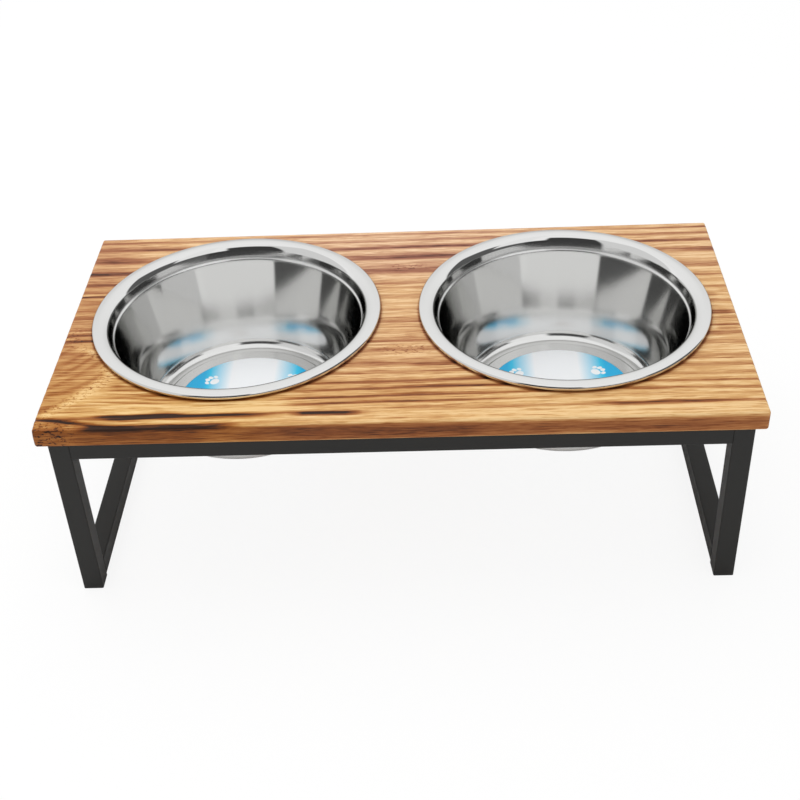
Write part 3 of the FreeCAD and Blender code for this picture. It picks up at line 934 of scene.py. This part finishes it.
class FEEDER_OT_labels(bpy.types.Operator):
    """Lays a round printed label on each bowl's floor"""

    bl_idname = "feeder.labels"
    bl_label = "Labels"

    def execute(self, context):
        paper = make_label_material()
        thick = LABEL_HIGH[2] - LABEL_LOW[2]
        steps = np.linspace(0, 1, LABEL_RINGS + 1)
        top = np.stack([LABEL_RADIUS_MM * steps, np.full_like(steps, thick)], axis=-1)
        below = np.array([(LABEL_RADIUS_MM, 0.0), (0.0, 0.0)])
        section = np.concatenate([top, below])[::-1]
        for name, end in BOWL_SIGNS.items():
            centre = (end * BOWL_X_MM, BOWL_Y_MM, LABEL_LOW[2])
            skin = Surface()
            points = turned(section, centre, LABEL_TURNS)
            skin.add(points, np.zeros(3), loop=True)
            welded, _, faces = skin.weld()
            marks = label_marks(welded[:, 0] - centre[0], welded[:, 1] - centre[1])
            make_piece(name + "_round_label", welded, faces, marks, paper,
                       name + "_bowl", name + "_bowl_label")
        return {"FINISHED"}


# Fine grain of the stand's finishes: the coat's wide haze, the caps' spark-eroded grain of about 0.7 mm, and
# the zinc's clouds of about 1.7 mm. Each: grains in a metre, their detail, and two values of gloss.
COAT_HAZE = (28.0, 3.0, 0.42, 0.58)
CAP_GRAIN = (1400.0, 2.0, 0.5, 0.7)
ZINC_CLOUD = (600.0, 2.0, 0.25, 0.5)
# The coat's orange-peel is about 1.2 mm across
PEELS_PER_M = 850.0
PEEL_DETAIL = 3.0
PEEL_STRENGTH = 0.12
PEEL_HEIGHT = 0.0002
CAP_GRAIN_STRENGTH = 0.15
CAP_GRAIN_HEIGHT = 0.0001
HAZE_STOP_SHARES = ((0.3, 0.85), (0.7, 1.2))
COAT_GLOSS = 0.36
CAP_IOR = 1.51


def make_coat_material():
    """Powder coat on mild steel: charcoal, satin, with the fine orange-peel of sprayed powder."""
    coat = settings("stand").coat
    material, add, shader = new_material("satin_powder_coat")
    place = add("TexCoord", out="Object")
    peel = add("TexNoise", {"Vector": place, "Scale": PEELS_PER_M, "Detail": PEEL_DETAIL})
    haze, gloss = grained(add, *COAT_HAZE)
    tones = [(at, (*(channel * share for channel in coat[:3]), 1.0)) for at, share in HAZE_STOP_SHARES]
    tint = add("ValToRGB", (haze,), stops=tones)
    skin = add("Bump", {"Strength": PEEL_STRENGTH, "Distance": PEEL_HEIGHT, "Height": peel})
    plug(shader, {"Base Color": tint, "Roughness": gloss, "Normal": skin, "Specular IOR Level": COAT_GLOSS})
    return material


def make_cap_material():
    """Moulded polyethylene: black, dull, with a fine spark-eroded grain."""
    material, add, shader = new_material("moulded_black_polyethylene")
    grain, gloss = grained(add, *CAP_GRAIN)
    skin = add("Bump", {"Strength": CAP_GRAIN_STRENGTH, "Distance": CAP_GRAIN_HEIGHT, "Height": grain})
    plug(shader, {"Base Color": settings("stand").cap, "Roughness": gloss, "Normal": skin, "IOR": CAP_IOR})
    return material


def make_zinc_material():
    """Zinc-plated steel: a grey metal with cloudy gloss."""
    material, add, shader = new_material("zinc_plated_steel")
    gloss = grained(add, *ZINC_CLOUD)[1]
    plug(shader, {"Base Color": settings("stand").zinc, "Roughness": gloss, "Metallic": 1.0})
    return material


class FEEDER_OT_stand(bpy.types.Operator):
    """Finishes the tubes, foot caps and screws, whose CAD shapes stay"""

    bl_idname = "feeder.stand"
    bl_label = "Stand"

    def execute(self, context):
        finishes = {"powder_coat": make_coat_material(), "cap_plastic": make_cap_material(),
                    "zinc_steel": make_zinc_material()}
        for part in frame["record"]["subparts"]:
            finish = finishes.get(part["material_slot"])
            if finish is not None:
                for slot in frame["nodes"][part["node"]].material_slots:
                    slot.material = finish
        return {"FINISHED"}


# Camera: where it stands, and its yaw, pitch and roll in radians
CAMERA_PLACE = (0.039754, -1.003717, 0.848211)
CAMERA_YAW = 0.0432
CAMERA_PITCH = 0.6442
CAMERA_ROLL = -0.0511
SENSOR_MM = 36.0
KEY_PLACE = (-0.5, 0.45, 1.7)
KEY_TILT_DEGREES = (-14, -16, 0)
KEY_SIZE = 1.6
# The studio as the polished steel shows it. Each panel: the turn of its middle from the front towards
# the right, its half width, its lower and upper edge above the horizon, all in degrees, and its brightness.
# Later panels stand before earlier ones.
STUDIO_GREY = 1.0
STUDIO_PANELS = {
    "white back wall": (180, 72, -90, 62, 0.97),
    "left strip light": (-112, 6, -90, 62, 1.0),
    "left softbox": (-72, 34, -90, 62, 0.75),
    "dim shelf": (46, 20, -90, 26, 0.12),
    "right softbox": (44, 18, 26, 78, 0.95),
    "dark right wall": (88, 26, -90, 44, 0.11),
    "dark camera end": (-13, 25, -90, 54, 0.05),
    "camera stand": (8, 22, -90, 26, 0.05),
}
PANEL_EDGE_DEGREES = 2.5
FLOOR_WHITE_SHARE = 0.88


def make_floor_material():
    """Matt white board: takes the soft shadow, and the camera sees it nearly white."""
    material, add, shader = new_material("matt_white_floor")
    plug(shader, {"Base Color": settings("stage").floor, "Roughness": 1.0, "Specular IOR Level": 0.0})
    seen = add("LightPath", out="Is Camera Ray")
    share = add("Math", (seen, FLOOR_WHITE_SHARE), operation="MULTIPLY")
    white = add("Emission", (grey(1.0), 1.0))
    mixed = add("MixShader", (share, shader.outputs[0], white))
    plug(shader.id_data.nodes["Material Output"], {"Surface": mixed})
    return material


def make_world():
    """A white studio: even light for matt things, and a white room with one dark end for the steel."""
    world = bpy.data.worlds.new("studio")
    bpy.context.scene.world = world
    world.use_nodes = True
    nodes = world.node_tree.nodes
    nodes.clear()
    add = partial(add_node, world.node_tree)
    aim = add("SeparateXYZ", (add("TexCoord", out="Generated"),)).node.outputs
    nearer = add("Math", (aim["Y"], -1.0), operation="MULTIPLY")
    turn = add("Math", (aim["X"], nearer), operation="ARCTAN2")
    height = add("Math", (aim["Z"],), operation="ARCSINE")
    room = grey(STUDIO_GREY)
    edge = math.radians(PANEL_EDGE_DEGREES)
    for middle, half, low, high, brightness in STUDIO_PANELS.values():
        off = add("Math", (turn, math.radians(middle)), operation="SUBTRACT")
        off = add("Math", (off, math.pi, -math.pi), operation="WRAP")
        off = add("Math", (off,), operation="ABSOLUTE")
        inside = 1.0
        for value, limit, way in ((off, half, -1), (height, low, 1), (height, high, -1)):
            border = math.radians(limit)
            limits = (border - way * edge, border + way * edge)
            within = add("MapRange", (value, *limits), interpolation_type="SMOOTHSTEP")
            inside = add("Math", (within, inside), operation="MULTIPLY")
        colours = {"Factor": inside, "A": room, "B": grey(brightness)}
        room = add("Mix", colours, out="Result", data_type="RGBA")
    path = add("LightPath").node.outputs
    plain = add("Math", (path["Is Camera Ray"], path["Is Transmission Ray"]), operation="MAXIMUM")
    seen = add("Background", (grey(1.0), 1.0))
    mirrored = add("Background", (room, 1.0))
    even = add("Background", (grey(1.0), settings("stage").fill))
    mixed = add("MixShader", (path["Is Glossy Ray"], even, mirrored))
    mixed = add("MixShader", (plain, mixed, seen))
    plug(nodes.new("ShaderNodeOutputWorld"), {"Surface": mixed})


class FEEDER_OT_stage(bpy.types.Operator):
    """Sets the floor, the light and the camera"""

    bl_idname = "feeder.stage"
    bl_label = "Stage"

    def execute(self, context):
        stage = settings("stage")
        scene = context.scene
        scene.view_settings.view_transform = "Standard"
        half = stage.floor_size / 2
        corners = [(-half, -half, 0), (half, -half, 0), (half, half, 0), (-half, half, 0)]
        mesh = bpy.data.meshes.new("floor")
        mesh.from_pydata(corners, [], [(0, 1, 2, 3)])
        mesh.materials.append(make_floor_material())
        floor = bpy.data.objects.new("floor", mesh)
        scene.collection.objects.link(floor)
        make_world()
        lamp = bpy.data.lights.new("overhead_softbox", "AREA")
        lamp.shape = "SQUARE"
        lamp.size = KEY_SIZE
        lamp.energy = stage.key
        softbox = bpy.data.objects.new("overhead_softbox", lamp)
        softbox.location = KEY_PLACE
        softbox.rotation_euler = [math.radians(tilt) for tilt in KEY_TILT_DEGREES]
        softbox.visible_glossy = False
        scene.collection.objects.link(softbox)
        lens = bpy.data.cameras.new("camera")
        lens.sensor_width = SENSOR_MM
        lens.lens = stage.lens
        camera = bpy.data.objects.new("camera", lens)
        turn = (Matrix.Rotation(CAMERA_YAW, 4, "Z") @ Matrix.Rotation(math.pi / 2 - CAMERA_PITCH, 4, "X")
                @ Matrix.Rotation(CAMERA_ROLL, 4, "Z"))
        camera.matrix_world = Matrix.Translation(CAMERA_PLACE) @ turn
        scene.collection.objects.link(camera)
        scene.camera = camera
        return {"FINISHED"}


OPERATORS = (FEEDER_OT_plank, FEEDER_OT_bowls, FEEDER_OT_labels, FEEDER_OT_stand, FEEDER_OT_stage)
GROUPS = {"plank": FeederPlank, "bowl": FeederBowl, "label": FeederLabel, "stand": FeederStand,
          "stage": FeederStage}


class FEEDER_PT_panel(bpy.types.Panel):
    """Lists the feeder's settings and the buttons that build it"""

    bl_idname = "FEEDER_PT_panel"
    bl_label = "Elevated Pet Feeder"
    bl_space_type = "VIEW_3D"
    bl_region_type = "UI"
    bl_category = "Feeder"

    def draw(self, context):
        for operator in OPERATORS:
            self.layout.operator(operator.bl_idname)
        for name, group in GROUPS.items():
            box = self.layout.box()
            box.label(text=name.title())
            for setting in group.__annotations__:
                box.prop(getattr(context.scene, "feeder_" + name), setting)


def register():
    """Registers the settings, operators and panel."""
    for name, group in GROUPS.items():
        bpy.utils.register_class(group)
        setattr(bpy.types.Scene, "feeder_" + name, PointerProperty(type=group))
    for kind in (*OPERATORS, FEEDER_PT_panel):
        bpy.utils.register_class(kind)


def unregister():
    """Takes them out again."""
    for kind in (FEEDER_PT_panel, *reversed(OPERATORS)):
        bpy.utils.unregister_class(kind)
    for name, group in GROUPS.items():
        delattr(bpy.types.Scene, "feeder_" + name)
        bpy.utils.unregister_class(group)


def main():
    """Builds every piece in order."""
    register()
    bpy.ops.feeder.plank()
    bpy.ops.feeder.bowls()
    bpy.ops.feeder.labels()
    bpy.ops.feeder.stand()
    bpy.ops.feeder.stage()


if __name__ == "__main__":
    main()
